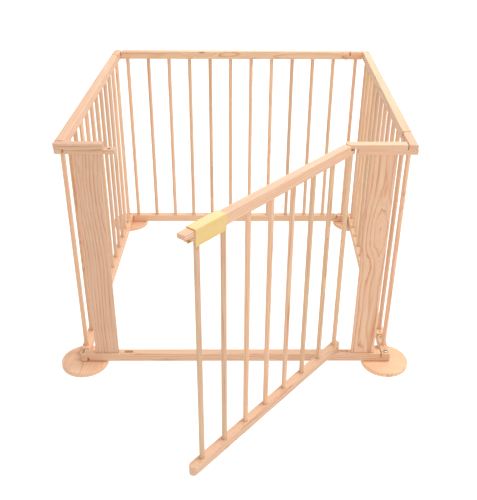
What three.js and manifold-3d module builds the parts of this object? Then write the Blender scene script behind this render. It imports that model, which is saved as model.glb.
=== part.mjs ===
// Wooden playpen: four slatted sides around a square floor, standing on four round feet.
// Units are millimetres, +Z is up, and the gate looks along -Y.
// Each rail ends in half-lap tongues, and a pin or bolt through every lap makes it a knuckle.
// Going round the pen (front, right, back, left), a rail starts with its upper tongue and
// ends with its lower one, except at the right-hand link, which keeps its upper half at both.

import * as THREE from "three";
import { mergeVertices } from "three/addons/utils/BufferGeometryUtils.js";
import Module from "manifold-3d";

const wasm = await Module();
wasm.setup();

// Overall sizes.
const SIDE = 900; // from corner pivot to corner pivot, on all four sides
const HEIGHT = 705; // from the floor to the top of the rails
const RACK = THREE.MathUtils.degToRad(1.7); // how far the loose knuckles let the pen lean out of square
const GAP = 0.3; // between pieces that touch

// Rails and their laps.
const RAIL = 27; // height of every rail
const RAIL_WIDTH = 24;
const RAIL_EDGE = 2; // chamfer along a rail's four edges
const REACH = 13.5; // how far a tongue goes past its pivot
const SHOULDER = 15; // from a pivot to where its rail is full height again
const TONGUE = RAIL / 2 - GAP / 2; // thickness of half a lap

// Round bars.
const BAR_RADIUS = 6.5;
const BAR_DEPTH = 15; // how far a bar goes into a rail
const BAR_PITCH = 74.8;
const BAR_INSET = 35.2; // from a corner pivot to the nearest bar

// Folding link between each long panel and the next corner.
const LINK = 71;
const LONG_BARS = 11;

// Feet.
const FOOT_RADIUS = 69;
const FOOT_THICKNESS = 14;
const FOOT_EDGE = 2.5;
const FOOT_CLEARANCE = 1; // the rails turn just above the feet

// Fixed planks beside the gate.
const PLANK_WIDTH = 68;
const PLANK_THICKNESS = 12;
const PLANK_INSET = 35.5; // from the corner pivot to the plank
const PLANK_DEPTH = 8; // how far a plank goes into its grooves
const PLANK_EDGE = 3;

// Gate.
const GATE_OPEN = THREE.MathUtils.degToRad(50);
const HINGE_X = 293.4; // from the middle of the front to the hinge axis
const GATE_BARS = 8;
const GATE_PITCH = 83.4;
const GATE_WIDTH = 21.5; // of the gate's two rails
const PEG_DISTANCE = 615; // from the hinge axis to the latch pegs
const GATE_LIFT = 5; // how far the gate lifts off its pegs
const GATE_CLEARANCE = 1; // between the gate and the threshold
const GATE_TONGUE = (RAIL - GATE_LIFT) / 2;
const HINGE_SHOULDER = 18;
const PEG_RADIUS = 4;
const PEG_DROP = 9; // how far the top peg hangs below its tongue
const SLOT_LENGTH = 27;
const SLOT_SHIFT = 4; // the threshold's slot is this much nearer the hinge than the peg
const SLOT_WIDTH = 11;
const SLOT_DEPTH = 8;
const SPARE_SLOT_DEPTH = 3;
const SPARE_SLOT_X = 326; // from the middle of the front

// Plastic sleeve that slides along the gate's top rail and over the latch.
const SLEEVE_LENGTH = 94;
const SLEEVE_START = 505; // from the hinge axis
const SLEEVE_WALL = 2.2;
const SLEEVE_SIDE_GAP = 0.5;
const SLEEVE_DROP = 10; // how far its walls reach below the rail
const SLEEVE_LIP = 2.6;

// Metal pieces.
const PIN_RADIUS = 3;
const HEAD_RADIUS = 6.5;
const HEAD_HEIGHT = 3.4;
const PIN_GRIP = 14; // how far a hinge pin goes into its bar

// What a rail's two ends can look like. Corner radii are [left, right] of the rail's X axis.
const ROUND = [RAIL_WIDTH / 2, RAIL_WIDTH / 2];
const SQUARE = [1, 1];
const UPPER = { upper: true, thickness: TONGUE, shoulder: SHOULDER, reach: REACH, corners: ROUND };
const LOWER = { ...UPPER, upper: false };
const SQUARE_UPPER = { ...UPPER, corners: SQUARE };
const SQUARE_LOWER = { ...LOWER, corners: SQUARE };
const GATE_ROUND = [GATE_WIDTH / 2, GATE_WIDTH / 2];
const GATE_END = { reach: GATE_WIDTH / 2, corners: GATE_ROUND };
const GATE_HEEL = { reach: 20, corners: [8, 8] };
const GATE_TIP = { ...SQUARE_UPPER, thickness: GATE_TONGUE, shoulder: 16 };
const GATE_HINGE = { ...GATE_END, upper: false, thickness: GATE_TONGUE, shoulder: HINGE_SHOULDER };
const FIXED_HINGE = {
  ...UPPER,
  thickness: GATE_TONGUE,
  shoulder: HINGE_SHOULDER,
  corners: [1, RAIL_WIDTH / 2],
};
const FIXED_LATCH = { ...SQUARE_LOWER, thickness: GATE_TONGUE, shoulder: 14.5, reach: 15 };

// Levels.
const LOW = FOOT_THICKNESS + FOOT_CLEARANCE; // underside of the lower rails
const TOP = HEIGHT - RAIL; // underside of the top rails
const GATE_LOW = LOW + RAIL + GATE_CLEARANCE; // underside of the gate's lower rail
const BAR_TOP = TOP + BAR_DEPTH;
const FRONT_CENTRE = SIDE / 2;

const ARC_STEPS = 5; // in a quarter circle
const ROUND_STEPS = 16;
const PIN_STEPS = 12;

// ---------------------------------------------------------------- materials

function paint(color, roughness, metalness) {
  return new THREE.MeshStandardMaterial({ color, roughness, metalness });
}

const pine = () => paint(0xe9c79c, 0.6, 0);
const paleSleeve = () => paint(0xf1e6b4, 0.4, 0);
const steel = () => paint(0x9b9a96, 0.35, 0.9);

// ---------------------------------------------------------------- solids

// A closed three.js geometry as a manifold solid.
function solid(geometry) {
  const bare = geometry.index ? geometry.toNonIndexed() : geometry.clone();
  bare.deleteAttribute("normal");
  bare.deleteAttribute("uv");
  const merged = mergeVertices(bare, 1e-4);
  const corners = merged.index.array;
  const kept = [];
  for (let i = 0; i < corners.length; i += 3) {
    const [a, b, c] = [corners[i], corners[i + 1], corners[i + 2]];
    if (a !== b && b !== c && c !== a) kept.push(a, b, c);
  }
  return new wasm.Manifold(
    new wasm.Mesh({
      numProp: 3,
      vertProperties: merged.attributes.position.array,
      triVerts: new Uint32Array(kept),
    }),
  );
}

function namedMesh(name, shape, material) {
  const made = shape.getMesh();
  const geometry = new THREE.BufferGeometry();
  geometry.setAttribute("position", new THREE.BufferAttribute(made.vertProperties, 3));
  geometry.setIndex(new THREE.BufferAttribute(made.triVerts, 1));
  const faceted = geometry.toNonIndexed();
  faceted.computeVertexNormals();
  const mesh = new THREE.Mesh(faceted, material);
  mesh.name = name;
  return mesh;
}

function extrudeUp(shape, z, height) {
  const geometry = new THREE.ExtrudeGeometry(shape, {
    depth: height,
    bevelEnabled: false,
    curveSegments: ARC_STEPS,
  });
  return solid(geometry.translate(0, 0, z));
}

// The shape is drawn in Y and Z.
function extrudeAlong(shape, x, length) {
  const geometry = new THREE.ExtrudeGeometry(shape, {
    depth: length,
    bevelEnabled: false,
    curveSegments: 1,
  });
  return solid(geometry.rotateX(Math.PI / 2).rotateZ(Math.PI / 2).translate(x, 0, 0));
}

function upright(x, y, radius, zLow, zHigh) {
  const steps = radius < BAR_RADIUS ? PIN_STEPS : ROUND_STEPS;
  const geometry = new THREE.CylinderGeometry(radius, radius, zHigh - zLow, steps);
  return solid(geometry.rotateX(Math.PI / 2).translate(x, y, (zLow + zHigh) / 2));
}

// A turned piece: the profile holds [radius, height] pairs from the axis back to the axis.
function turned(profile) {
  const points = profile.map(([radius, height]) => new THREE.Vector2(radius, height));
  return solid(new THREE.LatheGeometry(points, PIN_STEPS).rotateX(Math.PI / 2));
}

function polygon(points) {
  return new THREE.Shape(points.map(([x, y]) => new THREE.Vector2(x, y)));
}

// Corner radii go anticlockwise from the corner at xHigh, yLow.
function roundedRectangle(xLow, yLow, xHigh, yHigh, radii) {
  const corners = [
    [xHigh, yLow, -1, 1],
    [xHigh, yHigh, -1, -1],
    [xLow, yHigh, 1, -1],
    [xLow, yLow, 1, 1],
  ];
  const shape = new THREE.Shape();
  corners.forEach(([x, y, inwardX, inwardY], i) => {
    const radius = radii[i];
    const start = ((i - 1) * Math.PI) / 2;
    shape.absarc(x + inwardX * radius, y + inwardY * radius, radius, start, start + Math.PI / 2);
  });
  return shape;
}

// An outline with round ends, centred on the points (xStart, 0) and (xEnd, 0).
function stadium(xStart, xEnd, radius) {
  const shape = new THREE.Shape();
  shape.moveTo(xStart, -radius);
  shape.lineTo(xEnd, -radius);
  shape.absarc(xEnd, 0, radius, -Math.PI / 2, Math.PI / 2);
  shape.lineTo(xStart, radius);
  shape.absarc(xStart, 0, radius, Math.PI / 2, Math.PI * 1.5);
  return shape;
}

// ---------------------------------------------------------------- rails

// A full-height rail along X from one pivot to another, reaching past both.
function plainRail(xStart, xEnd, z, start, end, width = RAIL_WIDTH) {
  const half = width / 2;
  const xLow = xStart - start.reach;
  const xHigh = xEnd + end.reach;
  const radii = [end.corners[1], end.corners[0], start.corners[0], start.corners[1]];
  const plan = extrudeUp(roundedRectangle(xLow, -half, xHigh, half, radii), z, RAIL);
  const section = roundedRectangle(-half, z, half, z + RAIL, Array(4).fill(RAIL_EDGE));
  return plan.intersect(extrudeAlong(section, xLow - 1, xHigh - xLow + 2));
}

function box(xLow, xHigh, yLow, yHigh, zLow, zHigh) {
  const geometry = new THREE.BoxGeometry(xHigh - xLow, yHigh - yLow, zHigh - zLow);
  return solid(geometry.translate((xLow + xHigh) / 2, (yLow + yHigh) / 2, (zLow + zHigh) / 2));
}

// Takes away half the height from a shoulder out to the rail's end; outward is -1 at a start.
function cutLap(rail, pivot, outward, z, lap) {
  const shoulder = pivot - outward * lap.shoulder;
  const tip = pivot + outward * (lap.reach + 1);
  const zLow = lap.upper ? z - 1 : z + lap.thickness;
  const zHigh = lap.upper ? z + RAIL - lap.thickness : z + RAIL + 1;
  const [xLow, xHigh] = [Math.min(shoulder, tip), Math.max(shoulder, tip)];
  return rail.subtract(box(xLow, xHigh, -RAIL, RAIL, zLow, zHigh));
}

function lappedRail(xStart, xEnd, z, start, end, width) {
  const rail = cutLap(plainRail(xStart, xEnd, z, start, end, width), xStart, -1, z, start);
  return cutLap(rail, xEnd, 1, z, end);
}

function drill(rail, x, radius, zLow, zHigh) {
  return rail.subtract(upright(x, 0, radius + GAP, zLow, zHigh));
}

// Blind holes for bars that come up into a top rail or down into a lower one.
function drillForBarTops(rail, positions) {
  return positions.reduce(
    (cut, x) => drill(cut, x, BAR_RADIUS, TOP - 1, BAR_TOP + GAP),
    rail,
  );
}

function drillForBarFeet(rail, positions, zTop) {
  return positions.reduce(
    (cut, x) => drill(cut, x, BAR_RADIUS, zTop - BAR_DEPTH - GAP, zTop + 1),
    rail,
  );
}

// The top knuckles are pinned from below, so the pin shows only under the rail.
function drillTopPin(rail, x) {
  return drill(rail, x, PIN_RADIUS, TOP - 1, HEIGHT - 3 + GAP);
}

// A lower knuckle's bolt stops inside the lower tongue, but at a corner it goes on into the foot.
function drillLowerPin(rail, x) {
  return drill(rail, x, PIN_RADIUS, LOW + 3 - GAP, LOW + RAIL + 1);
}

function drillCornerPin(rail, x) {
  return drill(rail, x, PIN_RADIUS, LOW - 1, LOW + RAIL + 1);
}

function bar(name, x, zLow) {
  return namedMesh(name, upright(x, 0, BAR_RADIUS, zLow, BAR_TOP), pine());
}

// ---------------------------------------------------------------- bolts

// A domed bolt along Z with the underside of its head at height 0 and its shank below.
function domedBolt(name, shankLength) {
  const dome = [
    [HEAD_RADIUS, 0],
    [HEAD_RADIUS, 0.35 * HEAD_HEIGHT],
    [0.86 * HEAD_RADIUS, 0.68 * HEAD_HEIGHT],
    [0.6 * HEAD_RADIUS, 0.9 * HEAD_HEIGHT],
    [0, HEAD_HEIGHT],
  ];
  const shape = turned([[0, -shankLength], [PIN_RADIUS, -shankLength], [PIN_RADIUS, 0], ...dome]);
  return namedMesh(name, shape, steel());
}

// Head down, under a top rail's lap.
function topBolt(name, x) {
  const bolt = domedBolt(name, HEIGHT - 3 - TOP + GAP);
  bolt.rotation.x = Math.PI;
  bolt.position.set(x, 0, TOP - GAP);
  return bolt;
}

// Head up, on a lower rail's lap.
function lowerBolt(name, x, tip) {
  const bolt = domedBolt(name, LOW + RAIL + GAP - tip);
  bolt.position.set(x, 0, LOW + RAIL + GAP);
  return bolt;
}

// ---------------------------------------------------------------- feet

function foot(name) {
  const shape = new THREE.Shape();
  shape.absarc(0, 0, FOOT_RADIUS - FOOT_EDGE, 0, Math.PI * 2);
  const disc = new THREE.ExtrudeGeometry(shape, {
    depth: FOOT_THICKNESS - 2 * FOOT_EDGE,
    bevelSize: FOOT_EDGE,
    bevelThickness: FOOT_EDGE,
    bevelSegments: 1,
    curveSegments: 18,
  });
  disc.translate(0, 0, FOOT_EDGE);
  const hole = upright(0, 0, PIN_RADIUS + GAP, 4 - GAP, FOOT_THICKNESS + 1);
  return namedMesh(name, solid(disc).subtract(hole), pine());
}

// ---------------------------------------------------------------- sides

// The long panel's lower rail with its bars standing in it.
function barComb(name, xStart, start, positions) {
  let comb = lappedRail(xStart, SIDE, LOW, start, LOWER);
  comb = drillLowerPin(comb, xStart);
  comb = drillCornerPin(comb, SIDE);
  for (const x of positions) {
    comb = comb.add(upright(x, 0, BAR_RADIUS, LOW + RAIL - BAR_DEPTH, BAR_TOP));
  }
  return namedMesh(name, comb, pine());
}

function longTopRail(name, xStart, start, positions) {
  let rail = lappedRail(xStart, SIDE, TOP, start, LOWER);
  rail = drillForBarTops(rail, positions);
  rail = drillTopPin(rail, xStart);
  rail = drillTopPin(rail, SIDE);
  return namedMesh(name, rail, pine());
}

function linkTopRail(name, start, end) {
  let rail = lappedRail(0, LINK, TOP, start, end);
  rail = drillForBarTops(rail, [LINK / 2]);
  rail = drillTopPin(rail, 0);
  rail = drillTopPin(rail, LINK);
  return namedMesh(name, rail, pine());
}

function linkLowerRail(name, start, end) {
  let rail = lappedRail(0, LINK, LOW, start, end);
  rail = drillForBarFeet(rail, [LINK / 2], LOW + RAIL);
  rail = drillCornerPin(rail, 0);
  rail = drillLowerPin(rail, LINK);
  return namedMesh(name, rail, pine());
}

// One of the three barred sides, from its starting corner pivot along X: link, then panel.
function barredSide(name, linkStart, linkEnd, panelStart) {
  const side = new THREE.Group();
  const positions = [];
  for (let i = 0; i < LONG_BARS; i += 1) {
    positions.push(SIDE - BAR_INSET - i * BAR_PITCH);
  }
  side.add(
    longTopRail(`${name}_top_rail`, LINK, panelStart, positions),
    barComb(`${name}_lower_rail_and_bars`, LINK, panelStart, positions),
    linkTopRail(`${name}_link_top_rail`, linkStart, linkEnd),
    linkLowerRail(`${name}_link_lower_rail`, linkStart, linkEnd),
    bar(`${name}_link_bar`, LINK / 2, LOW + RAIL - BAR_DEPTH),
    topBolt(`${name}_link_top_bolt`, LINK),
    lowerBolt(`${name}_link_lower_bolt`, LINK, LOW + 3),
  );
  return side;
}

// A foot with the two bolts on the corner pivot above it.
function corner(name) {
  const group = new THREE.Group();
  group.add(
    foot(`foot_${name}`),
    lowerBolt(`corner_lower_bolt_${name}`, 0, 4),
    topBolt(`corner_top_bolt_${name}`, 0),
  );
  return group;
}

// ---------------------------------------------------------------- front

// Offset in millimetres along the front from its left corner pivot.
const HINGE_ALONG = FRONT_CENTRE + HINGE_X;
const LATCH_ALONG = HINGE_ALONG - PEG_DISTANCE;
const LEFT_PLANK_ALONG = PLANK_INSET + PLANK_WIDTH / 2;
const RIGHT_PLANK_ALONG = SIDE - LEFT_PLANK_ALONG;

function cutGroove(rail, along, zLow, zHigh) {
  const half = PLANK_WIDTH / 2 + GAP;
  const thin = PLANK_THICKNESS / 2 + GAP;
  return rail.subtract(box(along - half, along + half, -thin, thin, zLow, zHigh));
}

function cutSlot(rail, along, depth) {
  const half = (SLOT_LENGTH - SLOT_WIDTH) / 2;
  const outline = stadium(along - half, along + half, SLOT_WIDTH / 2);
  return rail.subtract(extrudeUp(outline, LOW + RAIL - depth, depth + 1));
}

function threshold() {
  const zTop = LOW + RAIL;
  let rail = lappedRail(0, SIDE, LOW, UPPER, SQUARE_LOWER);
  rail = drillCornerPin(rail, 0);
  rail = drillCornerPin(rail, SIDE);
  rail = cutGroove(rail, LEFT_PLANK_ALONG, zTop - PLANK_DEPTH - GAP, zTop + 1);
  rail = cutGroove(rail, RIGHT_PLANK_ALONG, zTop - PLANK_DEPTH - GAP, zTop + 1);
  rail = cutSlot(rail, LATCH_ALONG + SLOT_SHIFT, SLOT_DEPTH);
  rail = cutSlot(rail, FRONT_CENTRE + SPARE_SLOT_X, SPARE_SLOT_DEPTH);
  rail = drill(rail, HINGE_ALONG, PIN_RADIUS, zTop - 11 - GAP, zTop + 1);
  return namedMesh("threshold", rail, pine());
}

// Its latch tongue is as narrow as the gate's rail, so that the sleeve slides over both.
function leftFixedRail() {
  let rail = lappedRail(0, LATCH_ALONG, TOP, UPPER, FIXED_LATCH);
  const shoulder = LATCH_ALONG - FIXED_LATCH.shoulder;
  for (const side of [-1, 1]) {
    const edges = [(side * GATE_WIDTH) / 2, side * RAIL_WIDTH].sort((a, b) => a - b);
    rail = rail.subtract(box(shoulder, LATCH_ALONG + RAIL, ...edges, TOP - 1, HEIGHT + 1));
  }
  rail = cutGroove(rail, LEFT_PLANK_ALONG, TOP - 1, TOP + PLANK_DEPTH + GAP);
  rail = drillTopPin(rail, 0);
  rail = drill(rail, LATCH_ALONG, PEG_RADIUS + 1, TOP - 1, TOP + RAIL);
  return namedMesh("front_left_top_rail", rail, pine());
}

function rightFixedRail() {
  let rail = lappedRail(HINGE_ALONG, SIDE, TOP, FIXED_HINGE, SQUARE_LOWER);
  rail = cutGroove(rail, RIGHT_PLANK_ALONG, TOP - 1, TOP + PLANK_DEPTH + GAP);
  rail = drillTopPin(rail, SIDE);
  rail = drill(rail, HINGE_ALONG, PIN_RADIUS, TOP, HEIGHT - 1.3);
  return namedMesh("front_right_top_rail", rail, pine());
}

function plank(name, along) {
  const section = roundedRectangle(
    -PLANK_WIDTH / 2,
    -PLANK_THICKNESS / 2,
    PLANK_WIDTH / 2,
    PLANK_THICKNESS / 2,
    Array(4).fill(PLANK_EDGE),
  );
  const zLow = LOW + RAIL - PLANK_DEPTH;
  const board = namedMesh(name, extrudeUp(section, zLow, TOP + PLANK_DEPTH - zLow), pine());
  board.position.x = along;
  return board;
}

function frontSide() {
  const front = new THREE.Group();
  front.add(
    threshold(),
    leftFixedRail(),
    rightFixedRail(),
    plank("front_left_plank", LEFT_PLANK_ALONG),
    plank("front_right_plank", RIGHT_PLANK_ALONG),
  );
  return front;
}

// ---------------------------------------------------------------- gate

// The gate's own frame has the hinge axis at x = 0 and the free end towards -X.
const GATE_BAR_FOOT = GATE_LOW + RAIL - BAR_DEPTH;
const HINGE_BAR_TOP = TOP + GATE_TONGUE - 5;
const TOP_PIN_LOW = HINGE_BAR_TOP - PIN_GRIP;
const LOWER_PIN_HIGH = GATE_BAR_FOOT + PIN_GRIP;

function gateTopRail(positions) {
  let rail = lappedRail(-PEG_DISTANCE, 0, TOP, GATE_TIP, GATE_HINGE, GATE_WIDTH);
  rail = drillForBarTops(rail, positions.slice(1));
  rail = drill(rail, 0, BAR_RADIUS, TOP - 1, HINGE_BAR_TOP + GAP);
  rail = drill(rail, 0, PIN_RADIUS, TOP, HEIGHT);
  rail = drill(rail, -PEG_DISTANCE, PEG_RADIUS, TOP, HEIGHT - 2);
  return namedMesh("gate_top_rail", rail, pine());
}

function gateLowerRail(positions) {
  let rail = plainRail(-PEG_DISTANCE, 0, GATE_LOW, GATE_END, GATE_HEEL, GATE_WIDTH);
  rail = drillForBarFeet(rail, positions, GATE_LOW + RAIL);
  rail = drill(rail, 0, PIN_RADIUS, GATE_LOW - 1, GATE_LOW + RAIL);
  rail = drill(rail, -PEG_DISTANCE, PEG_RADIUS, GATE_LOW - 1, GATE_LOW + BAR_DEPTH + GAP);
  return namedMesh("gate_lower_rail", rail, pine());
}

// The bar on the hinge axis, bored at both ends for the hinge pins.
function hingeBar() {
  let shape = upright(0, 0, BAR_RADIUS, GATE_BAR_FOOT, HINGE_BAR_TOP);
  shape = drill(shape, 0, PIN_RADIUS, TOP_PIN_LOW - GATE_LIFT - GAP, HINGE_BAR_TOP + 1);
  shape = drill(shape, 0, PIN_RADIUS, GATE_BAR_FOOT - 1, LOWER_PIN_HIGH + GAP);
  return namedMesh("gate_bar_1", shape, pine());
}

function pin(name, x, radius, zLow, zHigh, material) {
  return namedMesh(name, upright(x, 0, radius, zLow, zHigh), material);
}

// A C-shaped sleeve round the top rail, open below for the bars.
function sleeve() {
  const inner = GATE_WIDTH / 2 + SLEEVE_SIDE_GAP;
  const outer = inner + SLEEVE_WALL;
  const zTop = HEIGHT + GAP;
  const zLow = TOP - SLEEVE_DROP;
  const section = polygon([
    [-outer, zLow],
    [-inner + SLEEVE_LIP, zLow],
    [-inner + SLEEVE_LIP, zLow + SLEEVE_WALL],
    [-inner, zLow + SLEEVE_WALL],
    [-inner, zTop],
    [inner, zTop],
    [inner, zLow + SLEEVE_WALL],
    [inner - SLEEVE_LIP, zLow + SLEEVE_WALL],
    [inner - SLEEVE_LIP, zLow],
    [outer, zLow],
    [outer, zTop + SLEEVE_WALL - 1.5],
    [outer - 1.5, zTop + SLEEVE_WALL],
    [-outer + 1.5, zTop + SLEEVE_WALL],
    [-outer, zTop + SLEEVE_WALL - 1.5],
  ]);
  const shape = extrudeAlong(section, -SLEEVE_START - SLEEVE_LENGTH, SLEEVE_LENGTH);
  return namedMesh("latch_sleeve", shape, paleSleeve());
}

function gate() {
  const group = new THREE.Group();
  const positions = [];
  for (let i = 0; i < GATE_BARS; i += 1) positions.push(-i * GATE_PITCH);
  group.add(gateTopRail(positions), gateLowerRail(positions), hingeBar());
  positions.slice(1).forEach((x, i) => {
    group.add(bar(`gate_bar_${i + 2}`, x, GATE_BAR_FOOT));
  });
  group.add(
    pin("hinge_pin_top", 0, PIN_RADIUS, TOP_PIN_LOW, HEIGHT - 2, steel()),
    pin("hinge_pin_lower", 0, PIN_RADIUS, LOW + RAIL - 11, LOWER_PIN_HIGH, steel()),
    pin(
      "latch_peg_top",
      -PEG_DISTANCE,
      PEG_RADIUS,
      HEIGHT - GATE_TONGUE - PEG_DROP,
      HEIGHT - 2,
      pine(),
    ),
    pin(
      "latch_peg_lower",
      -PEG_DISTANCE,
      PEG_RADIUS,
      LOW + RAIL - 3,
      GATE_LOW + BAR_DEPTH,
      pine(),
    ),
    sleeve(),
  );
  return group;
}

// ---------------------------------------------------------------- assembly

function place(group, x, y, angle) {
  group.position.set(x, y, 0);
  group.rotation.z = angle;
  return group;
}

function playpen() {
  const lean = SIDE * Math.sin(RACK);
  const depth = SIDE * Math.cos(RACK);
  const left = -SIDE / 2;
  const right = SIDE / 2;
  const pen = new THREE.Group();
  pen.add(
    place(frontSide(), left, 0, 0),
    place(barredSide("right", SQUARE_UPPER, UPPER, LOWER), right, 0, Math.PI / 2 - RACK),
    place(barredSide("back", UPPER, SQUARE_LOWER, UPPER), right + lean, depth, Math.PI),
    place(barredSide("left", UPPER, LOWER, UPPER), left + lean, depth, -Math.PI / 2 - RACK),
    place(corner("front_left"), left, 0, 0),
    place(corner("front_right"), right, 0, 0),
    place(corner("back_right"), right + lean, depth, 0),
    place(corner("back_left"), left + lean, depth, 0),
    place(gate(), HINGE_X, 0, GATE_OPEN),
  );
  return pen;
}

// The part's origin is on the floor under the middle of its outer box.
const pen = playpen();
const outerBox = new THREE.Box3().setFromObject(pen, true);
const centre = outerBox.getCenter(new THREE.Vector3());
pen.position.set(-centre.x, -centre.y, -outerBox.min.z);

const root = new THREE.Group();
root.name = "playpen";
root.add(pen);

export default root;
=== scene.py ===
"""A pine playpen with a swinging gate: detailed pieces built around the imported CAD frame.

Builders work in millimetres, and each mesh is scaled to metres when its object is made.
A wooden piece is built with the grain along its own X axis, then turned and put in place.
"""

import math
import random
from types import SimpleNamespace

import bmesh
import bpy
from mathutils import Matrix, Vector


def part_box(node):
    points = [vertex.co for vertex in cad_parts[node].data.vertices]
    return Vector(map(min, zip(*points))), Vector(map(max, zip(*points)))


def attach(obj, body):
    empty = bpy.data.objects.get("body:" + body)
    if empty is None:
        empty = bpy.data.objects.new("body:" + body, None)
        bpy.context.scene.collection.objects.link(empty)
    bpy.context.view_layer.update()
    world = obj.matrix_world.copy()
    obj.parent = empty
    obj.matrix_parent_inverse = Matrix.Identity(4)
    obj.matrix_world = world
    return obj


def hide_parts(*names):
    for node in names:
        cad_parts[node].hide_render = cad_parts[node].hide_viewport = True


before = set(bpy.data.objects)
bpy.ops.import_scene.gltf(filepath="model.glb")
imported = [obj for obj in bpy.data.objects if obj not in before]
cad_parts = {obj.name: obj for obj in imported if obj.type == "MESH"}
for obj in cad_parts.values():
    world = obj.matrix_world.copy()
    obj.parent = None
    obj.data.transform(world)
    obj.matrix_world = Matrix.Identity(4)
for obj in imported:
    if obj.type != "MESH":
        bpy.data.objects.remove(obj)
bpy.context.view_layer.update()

MM = 0.001

# Rails and their half-lap ends.
RAIL = 27  # height of every rail
RAIL_WIDTH = 24
GATE_WIDTH = 21.5  # of the gate's two rails
GAP = 0.3  # between pieces that touch
RAIL_ROUND = 2.0  # radius along the outer edges
CUT_EASE = 0.45  # small easing on every sawn edge
ARC_STEPS = 6  # in a quarter circle
OVERCUT = 1  # how far a cutter reaches past the face that it opens
SHOULDER = 15  # from a pivot to where its rail is full height again
HINGE_SHOULDER = 18
TIP_SHOULDER = 16
LATCH_SHOULDER = 14.5
REACH = 13.5  # how far a round tongue goes past its pivot
SQUARE_REACH = 13.2
LATCH_REACH = 14.8
HEEL_REACH = 20  # of the gate's lower rail past the hinge
HEEL_ROUND = 8
SHOULDER_PLAY = 0.05  # keeps a side cut off the face of the shoulder beside it
TONGUE = 13.35  # thickness of half a lap
GATE_TONGUE = 11
LIFT_PLAY = 0.2  # keeps the lifted gate's tongue off the fixed one

# Round bars.
BAR_RADIUS = 6.5
BAR_DEPTH = 15  # how far a bar goes into a rail
BAR_CHAMFER = 0.8
BAR_STEPS = 28
BAR_PITCH = 74.8
BAR_INSET = 35.2  # from a corner pivot to the nearest bar
LONG_BARS = 11
LINK = 71  # length of the folding link between its pivots
GATE_BARS = 8
GATE_PITCH = 83.4
HINGE_BAR_DEPTH = 6  # the bar on the hinge axis stops inside the thin tongue

# Planks.
PLANK_WIDTH = 68
PLANK_THICKNESS = 12
PLANK_RINGS = 32  # outlines along a plank, enough for its grain to bend smoothly
PLANK_INSET = 35.5
PLANK_DEPTH = 8
PLANK_ROUND = 3

# Feet.
FOOT_RADIUS = 69
FOOT_THICKNESS = 14
FOOT_TOP_ROUND = 3.2
FOOT_SOLE_ROUND = 1.6
FOOT_STEPS = 96

# Slots, pegs and metal.
SLOT_LENGTH = 27
SLOT_WIDTH = 11
SLOT_DEPTH = 8
SPARE_SLOT_DEPTH = 3
SLOT_SHIFT = 4  # the threshold's slot is this much nearer the hinge than the peg
SPARE_SLOT = 776  # along the front from its left corner pivot
PEG_RADIUS = 4
PEG_PLAY = 1  # round the top peg in the latch tongue
PEG_COVER = 2  # wood left above the top peg
PIN_RADIUS = 3
PIN_DEPTH = 11  # of the lower hinge pin in the threshold
PIN_COVER = 1.3  # wood left above the upper hinge pin
BOLT_COVER = 3  # wood left past the end of a rail's bolt
FOOT_COVER = 4  # wood left under a bolt in a foot
HEAD_RADIUS = 6.5
HEAD_HEIGHT = 3.4
SOCKET_FLATS = 2.0  # half the width across the hexagon socket's flats
SOCKET_DEPTH = 1.9
METAL_STEPS = 24

# Sleeve on the gate's top rail.
SLEEVE_LENGTH = 94
SLEEVE_WALL = 2.2
SLEEVE_SIDE_GAP = 0.5
SLEEVE_DROP = 10
SLEEVE_LIP = 2.6
SLEEVE_ROUND = 2.0


# ---------------------------------------------------------------- places in the frame


def middle(node):
    """Centre of a CAD node's box, in millimetres."""
    low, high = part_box(node)
    return (low + high) / 2 / MM


def base(node):
    """Height of a CAD node's underside, in millimetres."""
    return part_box(node)[0].z / MM


def line(start_node, end_node):
    """A frame at one node's upright axis whose X runs towards another's, and their distance."""
    start, end = middle(start_node), middle(end_node)
    heading = math.atan2(end.y - start.y, end.x - start.x)
    place = Matrix.Translation((start.x, start.y, 0)) @ Matrix.Rotation(heading, 4, "Z")
    return place, math.hypot(end.x - start.x, end.y - start.y)


FRONT, SIDE = line("foot_front_left", "foot_front_right")
SIDES = {
    "right": line("foot_front_right", "foot_back_right")[0],
    "back": line("foot_back_right", "foot_back_left")[0],
    "left": line("foot_back_left", "foot_front_left")[0],
}
GATE, GATE_LENGTH = line("latch_peg_top", "hinge_pin_top")
HINGE = line("foot_front_left", "hinge_pin_top")[1]  # along the front
LATCH = HINGE - GATE_LENGTH

LOW = base("threshold")
TOP = base("back_top_rail")
GATE_LOW = base("gate_lower_rail")


# ---------------------------------------------------------------- solids


def loft(rings):
    """A closed solid through rings of points, all with the same count, capped at both ends."""
    bm = bmesh.new()
    rows = [[bm.verts.new(point) for point in ring] for ring in rings]
    count = len(rows[0])
    for lower, upper in zip(rows, rows[1:]):
        for i in range(count):
            j = (i + 1) % count
            bm.faces.new((lower[i], lower[j], upper[j], upper[i]))
    bm.faces.new(rows[0])
    bm.faces.new(rows[-1])
    bmesh.ops.recalc_face_normals(bm, faces=bm.faces)
    return bm


def turns(steps):
    return [2 * math.pi * i / steps for i in range(steps)]


def circle_z(radius, z, steps, x=0.0):
    return [(x + radius * math.cos(a), radius * math.sin(a), z) for a in turns(steps)]


def circle_x(radius, x, steps):
    return [(x, radius * math.cos(a), radius * math.sin(a)) for a in turns(steps)]


def hexagon_z(flats, z, steps):
    """A hexagon ring with as many points as a circle ring."""
    sixth = math.pi / 3
    points = []
    for a in turns(steps):
        radius = flats / math.cos((a + sixth / 2) % sixth - sixth / 2)
        points.append((radius * math.cos(a), radius * math.sin(a), z))
    return points


def quarter(radius, steps=4):
    """Pairs that run from (radius, 0) to (0, radius) round a quarter circle."""
    angles = [math.pi / 2 * i / steps for i in range(steps + 1)]
    return [(radius * math.cos(a), radius * math.sin(a)) for a in angles]


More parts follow.
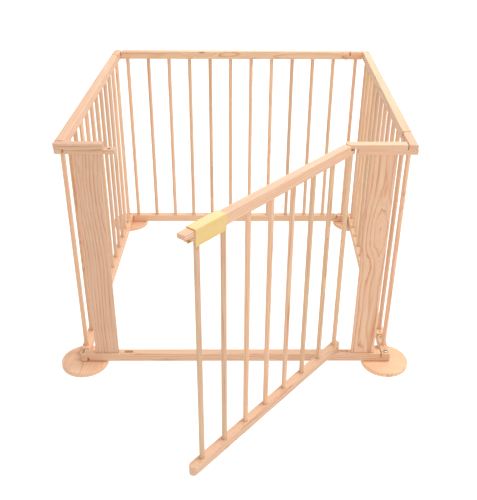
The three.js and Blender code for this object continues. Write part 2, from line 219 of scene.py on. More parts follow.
def join(target, extra):
    """Adds one bmesh's faces to another."""
    mesh = bpy.data.meshes.new("joining")
    extra.to_mesh(mesh)
    extra.free()
    target.from_mesh(mesh)
    bpy.data.meshes.remove(mesh)
    return target


def temporary(bm):
    mesh = bpy.data.meshes.new("temporary")
    bm.to_mesh(mesh)
    bm.free()
    made = bpy.data.objects.new("temporary", mesh)
    bpy.context.scene.collection.objects.link(made)
    return made


def cut(bm, cutters):
    """Takes the cutters out of a solid."""
    if not cutters:
        return bm
    tools = cutters[0]
    for extra in cutters[1:]:
        join(tools, extra)
    work, tool = temporary(bm), temporary(tools)
    boolean = work.modifiers.new("cut", "BOOLEAN")
    boolean.operation = "DIFFERENCE"
    boolean.solver = "EXACT"
    boolean.object = tool
    evaluated = work.evaluated_get(bpy.context.evaluated_depsgraph_get())
    result = bmesh.new()
    result.from_mesh(evaluated.to_mesh())
    for used in (work, tool):
        mesh = used.data
        bpy.data.objects.remove(used)
        bpy.data.meshes.remove(mesh)
    return result


def ease(bm, radius, segments, wanted):
    edges = [edge for edge in bm.edges if wanted(edge)]
    bmesh.ops.bevel(
        bm,
        geom=edges,
        offset=radius,
        offset_type="OFFSET",
        segments=segments,
        profile=0.5,
        affect="EDGES",
        clamp_overlap=True,
    )
    return bm


def is_sharp(edge):
    return edge.is_convex and edge.calc_face_angle(0) > math.radians(40)


def well(x, radius, z_low, z_high, steps=BAR_STEPS):
    """Cutter for a round hole along Z."""
    return loft([circle_z(radius, z, steps, x) for z in (z_low, z_high)])


def pin_well(x, z_low, z_high):
    return well(x, PIN_RADIUS + GAP, z_low, z_high, METAL_STEPS)


def slot_cutter(x, z_low, z_high):
    reach = (SLOT_LENGTH - SLOT_WIDTH) / 2
    rings = []
    for z in (z_low, z_high):
        ring = []
        for a in turns(BAR_STEPS):
            side = reach if math.cos(a) >= 0 else -reach
            ring.append((x + side + SLOT_WIDTH / 2 * math.cos(a), SLOT_WIDTH / 2 * math.sin(a), z))
        rings.append(ring)
    return loft(rings)


def box_cutter(x_low, x_high, y_low, y_high, z_low, z_high):
    ring = ((x_low, y_low), (x_high, y_low), (x_high, y_high), (x_low, y_high))
    return loft([[(x, y, z) for x, y in ring] for z in (z_low, z_high)])


def groove_cutter(x, z_low, z_high):
    half = PLANK_WIDTH / 2 + GAP
    thin = PLANK_THICKNESS / 2 + GAP
    return box_cutter(x - half, x + half, -thin, thin, z_low, z_high)


# ---------------------------------------------------------------- wooden shapes


def rail_end(tongue=None, **changes):
    """How a rail ends: its tongue is upper, lower or none, and each corner is round or square."""
    look = {
        "tongue": tongue,
        "thickness": TONGUE,
        "shoulder": SHOULDER,
        "reach": REACH,
        "left_round": True,
        "right_round": True,
        "corner_round": None,  # the round corners' radius, if it isn't half the width
    }
    look.update(changes)
    return SimpleNamespace(**look)


SQUARE = {"left_round": False, "right_round": False, "reach": SQUARE_REACH}
UPPER = rail_end("upper")
LOWER = rail_end("lower")
SQUARE_UPPER = rail_end("upper", **SQUARE)
SQUARE_LOWER = rail_end("lower", **SQUARE)
GATE_END = rail_end(reach=GATE_WIDTH / 2)
GATE_HEEL = rail_end(reach=HEEL_REACH, corner_round=HEEL_ROUND)
GATE_HINGE = rail_end(
    "lower",
    thickness=GATE_TONGUE - LIFT_PLAY,
    shoulder=HINGE_SHOULDER,
    reach=GATE_WIDTH / 2,
)
GATE_TIP = rail_end("upper", thickness=GATE_TONGUE, shoulder=TIP_SHOULDER, **SQUARE)
FIXED_HINGE = rail_end(
    "upper",
    thickness=GATE_TONGUE,
    shoulder=HINGE_SHOULDER,
    left_round=False,
)
FIXED_LATCH = rail_end(
    "lower",
    thickness=GATE_TONGUE,
    shoulder=LATCH_SHOULDER,
    reach=LATCH_REACH,
    left_round=False,
    right_round=False,
)


def end_outline(end, half):
    """Points (distance past the pivot, y) round a rail's end, from its right flank to its left."""
    points = [(0, -half)]
    for side, is_round in ((-1, end.right_round), (1, end.left_round)):
        radius = (end.corner_round or half) if is_round else 0
        for i in range(ARC_STEPS + 1 if is_round else 1):
            turn = i / ARC_STEPS if side < 0 else 1 - i / ARC_STEPS
            a = math.pi / 2 * turn
            x = end.reach - radius + radius * math.sin(a)
            y = side * (half - radius + radius * math.cos(a))
            if math.dist((x, y), points[-1]) > 1e-3:
                points.append((x, y))
    points.append((0, half))
    return points


def start_profile(start):
    """The side view's points at the start, going down from the top."""
    under = RAIL - start.thickness
    if start.tongue == "upper":
        return [(0, RAIL), (0, under), (start.shoulder, under), (start.shoulder, 0)]
    if start.tongue == "lower":
        level = start.thickness
        return [(start.shoulder, RAIL), (start.shoulder, level), (0, level), (0, 0)]
    return [(0, RAIL), (0, 0)]


def rail(length, start, end, cutters=(), width=RAIL_WIDTH):
    """A rail along X from pivot to pivot, with its laps and with eased edges."""
    half = width / 2
    side_view = start_profile(start)
    side_view += [(length - x, z) for x, z in reversed(start_profile(end))]
    bm = bmesh.new()
    columns = []
    for x, z in side_view:
        points = [(0, -half), (0, half)]
        outward = 0
        if x in (0, length):
            points = end_outline(start if x == 0 else end, half)
            outward = -1 if x == 0 else 1
        columns.append([bm.verts.new((x + outward * dx, y, z)) for dx, y in points])
    bm.faces.new([column[0] for column in columns])
    bm.faces.new([column[-1] for column in columns])
    for i, column in enumerate(columns):
        following = columns[(i + 1) % len(columns)]
        same_end = side_view[i][0] == side_view[(i + 1) % len(columns)][0]
        if same_end and len(column) == len(following) > 2:
            for k in range(len(column) - 1):
                bm.faces.new((column[k], column[k + 1], following[k + 1], following[k]))
        else:
            bm.faces.new(column + following[::-1])
    bmesh.ops.recalc_face_normals(bm, faces=bm.faces)

    def is_outer(edge):
        (a, b) = (vertex.co for vertex in edge.verts)
        level = abs(a.z - b.z) < 1e-6 and min(a.z, RAIL - a.z) < 1e-6
        return level and abs(a.x - b.x) > 1e-6

    ease(bm, RAIL_ROUND, 4, is_outer)
    bm = cut(bm, list(cutters))
    return ease(bm, CUT_EASE, 2, is_sharp)


def bar(length):
    inner = BAR_RADIUS - BAR_CHAMFER
    return loft(
        [
            circle_x(inner, 0, BAR_STEPS),
            circle_x(BAR_RADIUS, BAR_CHAMFER, BAR_STEPS),
            circle_x(BAR_RADIUS, length - BAR_CHAMFER, BAR_STEPS),
            circle_x(inner, length, BAR_STEPS),
        ]
    )


def plank(length):
    """A board along X with its width along Y and four rounded long edges."""
    corners = [(1, 1), (-1, 1), (-1, -1), (1, -1)]
    section = []
    for index, (sy, sz) in enumerate(corners):
        arc = quarter(PLANK_ROUND)
        if index % 2:
            arc = arc[::-1]
        for dy, dz in arc:
            y = sy * (PLANK_WIDTH / 2 - PLANK_ROUND + dy)
            z = sz * (PLANK_THICKNESS / 2 - PLANK_ROUND + dz)
            section.append((y, z))
    rings = [length * i / PLANK_RINGS for i in range(PLANK_RINGS + 1)]
    bm = loft([[(x, y, z) for y, z in section] for x in rings])
    return ease(bm, CUT_EASE, 2, is_sharp)


def foot():
    rings = []
    for dr, dz in quarter(FOOT_SOLE_ROUND)[::-1]:
        radius = FOOT_RADIUS - FOOT_SOLE_ROUND + dr
        rings.append(circle_z(radius, FOOT_SOLE_ROUND - dz, FOOT_STEPS))
    for dr, dz in quarter(FOOT_TOP_ROUND, 6):
        radius = FOOT_RADIUS - FOOT_TOP_ROUND + dr
        rings.append(circle_z(radius, FOOT_THICKNESS - FOOT_TOP_ROUND + dz, FOOT_STEPS))
    hole = pin_well(0, FOOT_COVER - GAP, FOOT_THICKNESS + OVERCUT)
    return cut(loft(rings), [hole])


def peg(length):
    inner = PEG_RADIUS - 1
    return loft(
        [
            circle_x(inner, 0, METAL_STEPS),
            circle_x(PEG_RADIUS, 1, METAL_STEPS),
            circle_x(PEG_RADIUS, length - 1, METAL_STEPS),
            circle_x(inner, length, METAL_STEPS),
        ]
    )


# ---------------------------------------------------------------- metal and plastic shapes


def bolt(shank):
    """A domed bolt with a hexagon socket; its head sits on height 0, its shank hangs below."""
    rings = [
        circle_z(PIN_RADIUS - 0.6, -shank, METAL_STEPS),
        circle_z(PIN_RADIUS, 0.6 - shank, METAL_STEPS),
        circle_z(PIN_RADIUS, 0, METAL_STEPS),
        circle_z(HEAD_RADIUS - 0.3, 0, METAL_STEPS),
        circle_z(HEAD_RADIUS, 0.3, METAL_STEPS),
    ]
    dome_start = 0.9
    steps = 7
    for i in range(steps + 1):
        a = math.radians(62) * i / steps
        radius = HEAD_RADIUS * math.cos(a)
        height = dome_start + (HEAD_HEIGHT - dome_start) * math.sin(a)
        rings.append(circle_z(radius, height, METAL_STEPS))
    rim = rings[-1][0][2]
    rings += [
        hexagon_z(SOCKET_FLATS + 0.25, rim + 0.05, METAL_STEPS),
        hexagon_z(SOCKET_FLATS, rim - 0.2, METAL_STEPS),
        hexagon_z(SOCKET_FLATS, rim - SOCKET_DEPTH, METAL_STEPS),
    ]
    return loft(rings)


def pin(length):
    return loft(
        [
            circle_z(PIN_RADIUS - 0.5, 0, METAL_STEPS),
            circle_z(PIN_RADIUS, 0.5, METAL_STEPS),
            circle_z(PIN_RADIUS, length - 0.5, METAL_STEPS),
            circle_z(PIN_RADIUS - 0.5, length, METAL_STEPS),
        ]
    )


def sleeve():
    """A C section along X, open below, with lips under the rail; height 0 is the rail's base."""
    inner = GATE_WIDTH / 2 + SLEEVE_SIDE_GAP
    outer = inner + SLEEVE_WALL
    ceiling = RAIL + GAP
    roof = ceiling + SLEEVE_WALL
    floor = -SLEEVE_DROP
    half_section = [(0, ceiling), (inner, ceiling), (inner, floor + SLEEVE_WALL)]
    half_section.append((inner - SLEEVE_LIP, floor + SLEEVE_WALL))
    half_section.append((inner - SLEEVE_LIP, floor))
    for dz, dy in quarter(1.2, 3):
        half_section.append((outer - 1.2 + dy, floor + 1.2 - dz))
    for dy, dz in quarter(SLEEVE_ROUND, 5):
        half_section.append((outer - SLEEVE_ROUND + dy, roof - SLEEVE_ROUND + dz))
    half_section.append((0, roof))
    mirrored = [(-y, z) for y, z in half_section[1:-1]][::-1]
    section = half_section + mirrored
    bm = loft([[(x, y, z) for y, z in section] for x in (0, SLEEVE_LENGTH)])
    return ease(bm, 0.5, 3, is_sharp)


# ---------------------------------------------------------------- materials


def material_tree(name):
    material = bpy.data.materials.new(name)
    material.use_nodes = True
    tree = material.node_tree
    return material, tree, tree.nodes["Principled BSDF"]


def node(tree, kind, inputs=None, **settings):
    """Adds a shader node; an input is a socket to link or a value to set."""
    made = tree.nodes.new("ShaderNode" + kind)
    for key, value in settings.items():
        setattr(made, key, value)
    for key, value in (inputs or {}).items():
        if isinstance(value, bpy.types.NodeSocket):
            tree.links.new(value, made.inputs[key])
        else:
            made.inputs[key].default_value = value
    return made


def maths(tree, operation, *values):
    inputs = dict(enumerate(values))
    return node(tree, "Math", inputs, operation=operation).outputs[0]


def vector_maths(tree, operation, *values):
    inputs = dict(enumerate(values))
    return node(tree, "VectorMath", inputs, operation=operation).outputs[0]


def noise(tree, vector, detail=2.0, roughness=0.5, output="Fac"):
    inputs = {"Vector": vector, "Scale": 1.0, "Detail": detail, "Roughness": roughness}
    return node(tree, "TexNoise", inputs).outputs[output]


def ramp(tree, factor, stops):
    """A grey ramp through (position, value) stops."""
    made = node(tree, "ValToRGB", {"Fac": factor})
    elements = made.color_ramp.elements
    while len(elements) < len(stops):
        elements.new(0.5)
    for element, (position, value) in zip(elements, stops):
        element.position = position
        element.color = (value, value, value, 1)
    return made.outputs["Color"]


def mix(tree, factor, first, second, blend="MIX"):
    made = node(tree, "Mix", data_type="RGBA", blend_type=blend)
    colours = [socket for socket in made.inputs if socket.type == "RGBA"]
    for socket, value in zip([made.inputs[0], *colours], (factor, first, second)):
        if isinstance(value, bpy.types.NodeSocket):
            tree.links.new(value, socket)
        else:
            socket.default_value = value
    return next(socket for socket in made.outputs if socket.type == "RGBA")


def span(tree, value, low, high):
    """Maps 0..1 onto low..high."""
    return maths(tree, "MULTIPLY_ADD", value, high - low, low)


EARLY_WOOD = (0.84, 0.595, 0.415, 1)
LATE_WOOD = (0.62, 0.265, 0.105, 1)
KNOT_WOOD = (0.34, 0.130, 0.050, 1)
PINK_CAST = (1.03, 0.95, 0.94, 1)
YELLOW_CAST = (1.0, 1.0, 0.90, 1)
DARK_STREAK = (0.88, 0.745, 0.61, 1)
PALE_STREAK = (1.14, 1.22, 1.30, 1)


def pine_material():
    """Sawn pine. The own_place attribute holds a point's place in the log in millimetres, with
    the pith along X; tone holds the piece's lightness, its pinkness and its growth-ring width.
    On a few pieces that lightness is painted light and shade."""
    material, tree, shader = material_tree("pine")
    grain = node(tree, "Attribute", attribute_name="own_place").outputs["Vector"]
    tone = node(tree, "Attribute", attribute_name="tone").outputs["Vector"]
    tone_parts = node(tree, "SeparateXYZ", {"Vector": tone}).outputs

    # A few knots, each a spot that the rings flow round.
    knot_space = vector_maths(tree, "MULTIPLY", grain, (1 / 170, 1 / 46, 1 / 46))
    cells = node(tree, "TexVoronoi", {"Vector": knot_space, "Scale": 1.0})
    chance = node(tree, "SeparateColor", {"Color": cells.outputs["Color"]}).outputs[0]
    has_knot = maths(tree, "GREATER_THAN", chance, 0.72)
    near = maths(tree, "DIVIDE", cells.outputs["Distance"], 0.30)
    squared = maths(tree, "POWER", near, 2.0)
    bulge = maths(tree, "POWER", math.e, maths(tree, "MULTIPLY", squared, -1.0))
    bulge = maths(tree, "MULTIPLY", bulge, has_knot)

    # The log's slow wander bends the rings along a piece.
    slow = vector_maths(tree, "MULTIPLY", grain, (1 / 260, 1 / 60, 1 / 60))
    wander = noise(tree, slow, 1.0, 0.4, "Color")
    wander = vector_maths(tree, "SUBTRACT", wander, (0.5, 0.5, 0.5))
    wander = vector_maths(tree, "MULTIPLY", wander, (0, 11, 11))
    swayed = vector_maths(tree, "ADD", vector_maths(tree, "MULTIPLY", grain, (0, 1, 1)), wander)
    from_pith = node(tree, "VectorMath", {0: swayed}, operation="LENGTH").outputs["Value"]
    from_pith = maths(tree, "MULTIPLY_ADD", bulge, 9.0, from_pith)
    count = maths(tree, "DIVIDE", from_pith, tone_parts[2])
    uneven = noise(tree, vector_maths(tree, "MULTIPLY", grain, (1 / 90, 1 / 9, 1 / 9)), 2.0)
    count = maths(tree, "MULTIPLY_ADD", uneven, 0.7, count)
    ring = maths(tree, "FRACT", count)
    stops = [(0.0, 0.10), (0.12, 0.0), (0.60, 0.06), (0.84, 0.55), (0.93, 1.0), (1.0, 0.10)]
    late = ramp(tree, ring, stops)

    # Rings fade in and out, and fine fibres run along the grain.
    patchy = noise(tree, vector_maths(tree, "MULTIPLY", grain, (1 / 150, 1 / 22, 1 / 22)), 1.0)
    patchy = ramp(tree, patchy, [(0.30, 0.40), (0.68, 1.0)])
    late_share = maths(tree, "MULTIPLY", late, patchy)
    streaks = noise(tree, vector_maths(tree, "MULTIPLY", grain, (1 / 110, 1 / 2.6, 1 / 2.6)), 3.0, 0.6)
    fibres = noise(tree, vector_maths(tree, "MULTIPLY", grain, (1 / 26, 1.6, 1.6)), 3.0, 0.65)
    colour = mix(tree, late_share, EARLY_WOOD, LATE_WOOD)
    knot_core = ramp(tree, cells.outputs["Distance"], [(0.035, 1.0), (0.085, 0.0)])
    knot_core = maths(tree, "MULTIPLY", knot_core, maths(tree, "MULTIPLY", has_knot, 0.8))
    colour = mix(tree, knot_core, colour, KNOT_WOOD)
    broad = noise(tree, vector_maths(tree, "MULTIPLY", grain, (1 / 130, 1 / 16, 1 / 16)), 2.0)
    cast = maths(tree, "ADD", ramp(tree, broad, [(0.25, 0.0), (0.75, 1.0)]), tone_parts[1])
    colour = mix(tree, 1.0, colour, mix(tree, cast, YELLOW_CAST, PINK_CAST), "MULTIPLY")
    colour = mix(tree, 1.0, colour, mix(tree, streaks, DARK_STREAK, PALE_STREAK), "MULTIPLY")
    light = maths(tree, "MULTIPLY", span(tree, fibres, 0.90, 1.10), tone_parts[0])
    grey = node(tree, "CombineColor", {0: light, 1: light, 2: light}).outputs[0]
    colour = mix(tree, 1.0, colour, grey, "MULTIPLY")
    tree.links.new(colour, shader.inputs["Base Color"])

    roughness = maths(tree, "MULTIPLY_ADD", late_share, -0.10, span(tree, fibres, 0.42, 0.66))
    tree.links.new(roughness, shader.inputs["Roughness"])
    relief = maths(tree, "MULTIPLY_ADD", late_share, 0.5, fibres)
    bump = node(tree, "Bump", {"Height": relief, "Strength": 0.35, "Distance": 0.0004})
    tree.links.new(bump.outputs["Normal"], shader.inputs["Normal"])
    shader.inputs["IOR"].default_value = 1.45
    return material


def sleeve_material():
    """Pale yellow moulded plastic with faint flow marks and fine rub marks along the slide."""
    material, tree, shader = material_tree("sleeve_plastic")
    place = node(tree, "Attribute", attribute_name="own_place").outputs["Vector"]
    flow = noise(tree, vector_maths(tree, "MULTIPLY", place, (0.018, 0.06, 0.06)), 3.0)
    rubs = noise(tree, vector_maths(tree, "MULTIPLY", place, (0.04, 1.5, 1.5)), 2.0, 0.6)
    colour = mix(tree, flow, (0.78, 0.53, 0.175, 1), (0.84, 0.60, 0.24, 1))
    tree.links.new(colour, shader.inputs["Base Color"])
    roughness = maths(tree, "ADD", span(tree, rubs, 0.26, 0.44), span(tree, flow, -0.03, 0.03))
    tree.links.new(roughness, shader.inputs["Roughness"])
    grainy = noise(tree, vector_maths(tree, "MULTIPLY", place, (0.9, 0.9, 0.9)), 2.0)
    relief = maths(tree, "MULTIPLY_ADD", rubs, 0.4, grainy)
    bump = node(tree, "Bump", {"Height": relief, "Strength": 0.12, "Distance": 0.0002})
    tree.links.new(bump.outputs["Normal"], shader.inputs["Normal"])
    shader.inputs["Subsurface Weight"].default_value = 0.05
    shader.inputs["Subsurface Radius"].default_value = (0.004, 0.003, 0.0015)
    return material


def steel_material():
    """Zinc-plated steel, faintly turned round the bolt's axis."""
    material, tree, shader = material_tree("bolt_steel")
    place = node(tree, "Attribute", attribute_name="own_place").outputs["Vector"]
    flat = vector_maths(tree, "MULTIPLY", place, (1, 1, 0))
    radius = node(tree, "VectorMath", {0: flat}, operation="LENGTH").outputs["Value"]
    rings = node(tree, "CombineXYZ", {0: maths(tree, "MULTIPLY", radius, 5.0), 1: 0.3, 2: 0.7})
    turned = noise(tree, rings.outputs[0], 2.0)
    blotch = noise(tree, vector_maths(tree, "MULTIPLY", place, (0.3, 0.3, 0.3)), 3.0)
    colour = mix(tree, blotch, (0.44, 0.34, 0.24, 1), (0.68, 0.56, 0.42, 1))
    tree.links.new(colour, shader.inputs["Base Color"])
    roughness = maths(tree, "ADD", span(tree, turned, 0.20, 0.36), span(tree, blotch, -0.04, 0.06))
    tree.links.new(roughness, shader.inputs["Roughness"])
    bump = node(tree, "Bump", {"Height": turned, "Strength": 0.2, "Distance": 0.0001})
    tree.links.new(bump.outputs["Normal"], shader.inputs["Normal"])
    shader.inputs["Metallic"].default_value = 1.0
    return material


PINE = pine_material()
PLASTIC = sleeve_material()
STEEL = steel_material()


# ---------------------------------------------------------------- objects


def piece(name, bm, place, body, material, nodes, own_places=()):
    """Makes the object from a millimetre bmesh, and has it ride on a body in place of CAD nodes.
    The attribute called own_place keeps each point's place on the piece itself, or in its log."""
    for edge in bm.edges:
        edge.smooth = edge.calc_face_angle(0) < math.radians(35)
    for face in bm.faces:
        face.smooth = True
    own_places = own_places or [vertex.co.copy() for vertex in bm.verts]
    mesh = bpy.data.meshes.new(name)
    bm.to_mesh(mesh)
    bm.free()
    set_vectors(mesh, "own_place", own_places)
    mesh.transform(Matrix.Scale(MM, 4) @ place)
    mesh.materials.append(material)
    made = bpy.data.objects.new(name, mesh)
    bpy.context.scene.collection.objects.link(made)
    shading = made.modifiers.new("even_faces", "WEIGHTED_NORMAL")
    shading.keep_sharp = True
    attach(made, body)
    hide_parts(*nodes)
    return made


def set_vectors(mesh, name, vectors):
    attribute = mesh.attributes.new(name, "FLOAT_VECTOR", "POINT")
    for item, vector in zip(attribute.data, vectors):
        item.vector = vector


# Pieces with settings of their own. Some lightness values are painted light and shade: the front
# left rail and plank are darker and the front right foot lighter, for light falling from the right,
# and gate bars 7 and 8 and the top latch peg are darkened as painted shade. A dip (height, place
# along, reach) bends the rings of a board towards the pith, which draws an oval on its face.
LOOKS = {
    "front_left_plank": {
        "pith": (52, 34),
        "ring_width": 7.5,
        # painted shade: this lightness darkens the plank for light falling from the right
        "lightness": 0.88,
        "pinkness": 0.7,
        "dip": (12, 540, 110),
    },
    "front_right_plank": {
        "pith": (14, 24),
        "ring_width": 9.0,
        "lightness": 0.99,
        "pinkness": 0.35,
        "dip": (16, 420, 75),
    },
    # painted shade: the front left rail is darkened for light falling from the right
    "front_left_top_rail": {"lightness": 0.86, "pinkness": 0.4},
    "front_right_top_rail": {"lightness": 1.0, "pinkness": 0.3},
    "foot_front_left": {"lightness": 1.0, "pinkness": 0.3},
    # painted light: the front right foot is lightened for light falling from the right
    "foot_front_right": {"lightness": 1.08, "pinkness": -0.1},
    # painted shade: the top peg is darkened for the shade under the gate's top tongue
    "latch_peg_top": {"lightness": 0.5},
    # painted shade: gate bars 7 and 8 are darkened
    "gate_bar_8": {"lightness": 0.88},
    "gate_bar_7": {"lightness": 0.88},
}


def wooden(name, bm, place, body, node_name):
    """A pine piece. Each one is cut from its own part of a log, so no two look the same.
    Some lightness values in LOOKS are painted light and shade.
    """
    draw = random.Random(name)
    angle = draw.uniform(0, 2 * math.pi)
    distance = draw.uniform(28, 80)
    look = {
        "pith": (distance * math.cos(angle), distance * math.sin(angle)),
        "ring_width": draw.uniform(2.6, 5.0),
        "lightness": draw.uniform(0.88, 1.05),
        "pinkness": draw.uniform(-0.25, 0.45),
        "dip": (0, 0, 1),
    }
    start = draw.uniform(0, 9000)
    look.update(LOOKS.get(name, {}))
    height, along, reach = look["dip"]
    own_places = []
    for vertex in bm.verts:
        dip = height * math.exp(-(((vertex.co.x - along) / reach) ** 2))
        own_places.append(vertex.co + Vector((start, look["pith"][0], look["pith"][1] - dip)))
    made = piece(name, bm, place, body, PINE, [node_name], own_places)
    tone = (look["lightness"], look["pinkness"], look["ring_width"])
    set_vectors(made.data, "tone", [tone] * len(made.data.vertices))
    return made


UPRIGHT = Matrix.Rotation(math.radians(-90), 4, "Y")  # turns a piece's X to face up
UPSIDE_DOWN = Matrix.Rotation(math.radians(180), 4, "X")


def at(x, z):
    return Matrix.Translation((x, 0, z))


# Holes in a rail whose underside is at height 0.


def top_wells(positions):
    return [well(x, BAR_RADIUS + GAP, -OVERCUT, BAR_DEPTH + GAP) for x in positions]


def foot_wells(positions):
    low = RAIL - BAR_DEPTH - GAP
    return [well(x, BAR_RADIUS + GAP, low, RAIL + OVERCUT) for x in positions]


def top_pin_well(x):
    return pin_well(x, -OVERCUT, RAIL - BOLT_COVER + GAP)


def lower_pin_well(x):
    return pin_well(x, BOLT_COVER - GAP, RAIL + OVERCUT)


def corner_pin_well(x):
    return pin_well(x, -OVERCUT, RAIL + OVERCUT)


def top_bolt(name, place, x, body):
    """Head down, under a top rail's lap."""
    shank = RAIL - BOLT_COVER + GAP
    turned = place @ at(x, TOP - GAP) @ UPSIDE_DOWN
    piece(name, bolt(shank), turned, body, STEEL, [name])


def lower_bolt(name, place, x, tip, body):
    """Head up, on a lower rail's lap."""
    seat = LOW + RAIL + GAP
    piece(name, bolt(seat - tip), place @ at(x, seat), body, STEEL, [name])


def upright_bar(name, place, x, z_low, z_high, body, node_name):
    wooden(name, bar(z_high - z_low), place @ at(x, z_low) @ UPRIGHT, body, node_name)


def barred_side(side, link_body, panel_body, link_start=UPPER, link_end=LOWER, panel_start=UPPER):
    """A folding link, then a long panel of round bars between two rails."""
    place = SIDES[side]
    panel = SIDE - LINK
    bars = [panel - BAR_INSET - i * BAR_PITCH for i in range(LONG_BARS)]
    shift = place @ at(LINK, 0)
    bar_low = LOW + RAIL - BAR_DEPTH
    bar_high = TOP + BAR_DEPTH

    cutters = top_wells(bars) + [top_pin_well(0), top_pin_well(panel)]
    shape = rail(panel, panel_start, LOWER, cutters)
    wooden(f"{side}_top_rail", shape, shift @ at(0, TOP), panel_body, f"{side}_top_rail")
    cutters = foot_wells(bars) + [lower_pin_well(0), corner_pin_well(panel)]
    shape = rail(panel, panel_start, LOWER, cutters)
    comb = f"{side}_lower_rail_and_bars"
    wooden(f"{side}_lower_rail", shape, shift @ at(0, LOW), panel_body, comb)
    for number, x in enumerate(bars, 1):
        upright_bar(f"{side}_bar_{number}", shift, x, bar_low, bar_high, panel_body, comb)

    name = f"{side}_link_top_rail"
    cutters = top_wells([LINK / 2]) + [top_pin_well(0), top_pin_well(LINK)]
    shape = rail(LINK, link_start, link_end, cutters)
    wooden(name, shape, place @ at(0, TOP), link_body, name)
    name = f"{side}_link_lower_rail"
    cutters = foot_wells([LINK / 2]) + [corner_pin_well(0), lower_pin_well(LINK)]
    shape = rail(LINK, link_start, link_end, cutters)
    wooden(name, shape, place @ at(0, LOW), link_body, name)
    name = f"{side}_link_bar"
    upright_bar(name, place, LINK / 2, bar_low, bar_high, link_body, name)
    top_bolt(f"{side}_link_top_bolt", place, LINK, link_body)
    lower_bolt(f"{side}_link_lower_bolt", place, LINK, LOW + BOLT_COVER, link_body)


def corner(name, body, grain_heading):
    centre = middle(f"foot_{name}")
    place = Matrix.Translation((centre.x, centre.y, 0))
    turned = place @ Matrix.Rotation(math.radians(grain_heading), 4, "Z")
    wooden(f"foot_{name}", foot(), turned, body, f"foot_{name}")
    lower_bolt(f"corner_lower_bolt_{name}", place, 0, FOOT_COVER, body)
    top_bolt(f"corner_top_bolt_{name}", place, 0, body)


def front_side():
    body = "front_frame"
    left_plank = PLANK_INSET + PLANK_WIDTH / 2
    right_plank = SIDE - left_plank
    floor_z = RAIL - PLANK_DEPTH - GAP
    cutters = [
        corner_pin_well(0),
        corner_pin_well(SIDE),
        groove_cutter(left_plank, floor_z, RAIL + OVERCUT),
        groove_cutter(right_plank, floor_z, RAIL + OVERCUT),
        slot_cutter(LATCH + SLOT_SHIFT, RAIL - SLOT_DEPTH, RAIL + OVERCUT),
        slot_cutter(SPARE_SLOT, RAIL - SPARE_SLOT_DEPTH, RAIL + OVERCUT),
        pin_well(HINGE, RAIL - PIN_DEPTH - GAP, RAIL + OVERCUT),
    ]
    shape = rail(SIDE, UPPER, SQUARE_LOWER, cutters)
    wooden("threshold", shape, FRONT @ at(0, LOW), body, "threshold")

    # The latch tongue is as narrow as the gate's rail, so that the sleeve slides over both.
    shoulder = LATCH - FIXED_LATCH.shoulder + SHOULDER_PLAY
    narrow = GATE_WIDTH / 2
    cutters = [
        groove_cutter(left_plank, -OVERCUT, PLANK_DEPTH + GAP),
        top_pin_well(0),
        well(LATCH, PEG_RADIUS + PEG_PLAY, -OVERCUT, RAIL),
        box_cutter(shoulder, LATCH + RAIL, narrow, RAIL, -OVERCUT, RAIL + OVERCUT),
        box_cutter(shoulder, LATCH + RAIL, -RAIL, -narrow, -OVERCUT, RAIL + OVERCUT),
    ]
    shape = rail(LATCH, UPPER, FIXED_LATCH, cutters)
    wooden("front_left_top_rail", shape, FRONT @ at(0, TOP), body, "front_left_top_rail")

    length = SIDE - HINGE
    cutters = [
        groove_cutter(right_plank - HINGE, -OVERCUT, PLANK_DEPTH + GAP),
        top_pin_well(length),
        pin_well(0, 0, RAIL - PIN_COVER),
    ]
    shape = rail(length, FIXED_HINGE, SQUARE_LOWER, cutters)
    wooden("front_right_top_rail", shape, FRONT @ at(HINGE, TOP), body, "front_right_top_rail")

    low = LOW + RAIL - PLANK_DEPTH
    length = TOP + PLANK_DEPTH - low
    for side, x in (("left", left_plank), ("right", right_plank)):
        name = f"front_{side}_plank"
        place = FRONT @ at(x, low) @ UPRIGHT @ Matrix.Rotation(math.radians(90), 4, "X")
        wooden(name, plank(length), place, body, name)


def gate():
    body = "gate"
    bars = [GATE_LENGTH - i * GATE_PITCH for i in range(GATE_BARS)]
    bar_low = GATE_LOW + RAIL - BAR_DEPTH
    cutters = top_wells(bars[1:]) + [
        well(GATE_LENGTH, BAR_RADIUS + GAP, -OVERCUT, HINGE_BAR_DEPTH + GAP),
        pin_well(GATE_LENGTH, 0, RAIL),
        well(0, PEG_RADIUS + GAP, 0, RAIL - PEG_COVER),
    ]
    shape = rail(GATE_LENGTH, GATE_TIP, GATE_HINGE, cutters, GATE_WIDTH)
    wooden("gate_top_rail", shape, GATE @ at(0, TOP), body, "gate_top_rail")
    cutters = foot_wells(bars) + [
        pin_well(GATE_LENGTH, -OVERCUT, RAIL),
        well(0, PEG_RADIUS + GAP, -OVERCUT, BAR_DEPTH + GAP),
    ]
    shape = rail(GATE_LENGTH, GATE_END, GATE_HEEL, cutters, GATE_WIDTH)
    wooden("gate_lower_rail", shape, GATE @ at(0, GATE_LOW), body, "gate_lower_rail")
    for number, x in enumerate(bars, 1):
        name = f"gate_bar_{number}"
        high = TOP + (HINGE_BAR_DEPTH if number == 1 else BAR_DEPTH)
        upright_bar(name, GATE, x, bar_low, high, body, name)

    for name in ("latch_peg_top", "latch_peg_lower"):
        low, high = (corner_point.z / MM for corner_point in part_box(name))
        wooden(name, peg(high - low), GATE @ at(0, low) @ UPRIGHT, body, name)
    for name in ("hinge_pin_top", "hinge_pin_lower"):
        low, high = (corner_point.z / MM for corner_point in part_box(name))
        place = GATE @ at(GATE_LENGTH, low)
        piece(name, pin(high - low), place, "gate_hinge", STEEL, [name])

    centre = GATE.inverted() @ middle("latch_sleeve")
    place = GATE @ at(centre.x - SLEEVE_LENGTH / 2, TOP)
    piece("latch_sleeve", sleeve(), place, "sleeve", PLASTIC, ["latch_sleeve"])


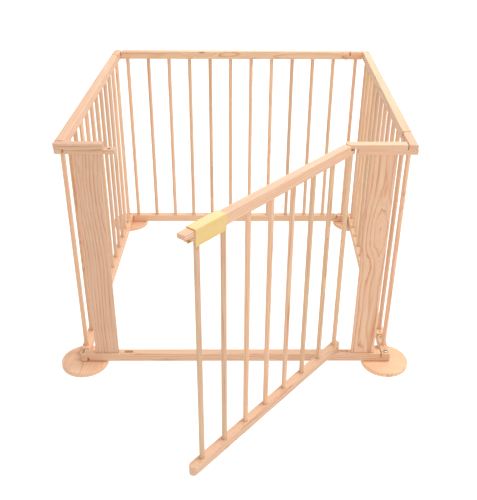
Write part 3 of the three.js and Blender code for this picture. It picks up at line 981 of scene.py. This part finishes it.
front_side()
barred_side("right", "front_frame", "right_panel", SQUARE_UPPER, UPPER, LOWER)
barred_side("back", "back_panel", "back_panel", link_end=SQUARE_LOWER)
barred_side("left", "back_panel", "left_panel")
corner("front_left", "front_frame", 82)
corner("front_right", "front_frame", 3)
corner("back_right", "back_panel", 15)
corner("back_left", "back_panel", 70)
gate()


# ---------------------------------------------------------------- floor, light and camera


FLOOR_SEEN = 1.0
FLOOR_LIGHT = 0.72
WORLD_LIGHT = 0.60


def seen_or_lit(tree, seen, lit):
    """A strength for the camera to see, and a weaker one that lights the pen."""
    is_seen = node(tree, "LightPath").outputs["Is Camera Ray"]
    return span(tree, is_seen, lit, seen)


def studio_floor():
    half = 9.0
    bm = bmesh.new()
    bmesh.ops.create_grid(bm, x_segments=4, y_segments=4, size=half)
    mesh = bpy.data.meshes.new("studio_floor")
    bm.to_mesh(mesh)
    bm.free()
    made = bpy.data.objects.new("studio_floor", mesh)
    made.location.z = -0.0004
    bpy.context.scene.collection.objects.link(made)
    material, tree, shader = material_tree("studio_white")
    shader.inputs["Base Color"].default_value = (0.30, 0.30, 0.30, 1)
    shader.inputs["Roughness"].default_value = 0.9
    shader.inputs["Specular IOR Level"].default_value = 0.0
    shader.inputs["Emission Color"].default_value = (1, 1, 1, 1)
    glow = seen_or_lit(tree, FLOOR_SEEN, FLOOR_LIGHT)
    tree.links.new(glow, shader.inputs["Emission Strength"])
    mesh.materials.append(material)


def studio_world():
    world = bpy.data.worlds.new("studio")
    world.use_nodes = True
    tree = world.node_tree
    background = tree.nodes["Background"]
    background.inputs["Color"].default_value = (1, 1, 1, 1)
    tree.links.new(seen_or_lit(tree, 1.0, WORLD_LIGHT), background.inputs["Strength"])
    bpy.context.scene.world = world


def soft_box(name, location, target, size, power):
    lamp = bpy.data.lights.new(name, "AREA")
    lamp.shape = "DISK"
    lamp.size = size
    lamp.energy = power
    made = bpy.data.objects.new(name, lamp)
    made.location = location
    aim = Vector(target) - Vector(location)
    made.rotation_euler = aim.to_track_quat("-Z", "Y").to_euler()
    bpy.context.scene.collection.objects.link(made)


# Where the camera stands in metres, and how it is turned, in degrees.
CAMERA_PLACE = Vector((-0.0252, -1.9372, 1.3726))
CAMERA_YAW = 0.684
CAMERA_PITCH = -30.006
CAMERA_ROLL = 0.375
CAMERA_LENS = 51.37


def camera():
    yaw, pitch, roll = (math.radians(a) for a in (CAMERA_YAW, CAMERA_PITCH, CAMERA_ROLL))
    forward = Vector((math.sin(yaw) * math.cos(pitch), math.cos(yaw) * math.cos(pitch), math.sin(pitch)))
    level = Vector((math.cos(yaw), -math.sin(yaw), 0))
    rise = level.cross(forward)
    across = level * math.cos(roll) + rise * math.sin(roll)
    up = rise * math.cos(roll) - level * math.sin(roll)
    lens = bpy.data.cameras.new("camera")
    lens.lens = CAMERA_LENS
    lens.sensor_width = 36
    made = bpy.data.objects.new("camera", lens)
    turn = Matrix((across, up, -forward)).transposed().to_4x4()
    made.matrix_world = Matrix.Translation(CAMERA_PLACE) @ turn
    bpy.context.scene.collection.objects.link(made)
    bpy.context.scene.camera = made


studio_floor()
studio_world()
soft_box("key_light", (1.8, 0.0, 4.0), (0, 0, 0.3), 1.8, 87)
soft_box("back_light", (0.3, 3.2, 2.6), (0, 0, 0.5), 2.6, 45)
soft_box("fill_light", (0.9, -4.0, 2.4), (0, 0, 0.3), 2.6, 26)
camera()
bpy.context.scene.view_settings.view_transform = "Standard"
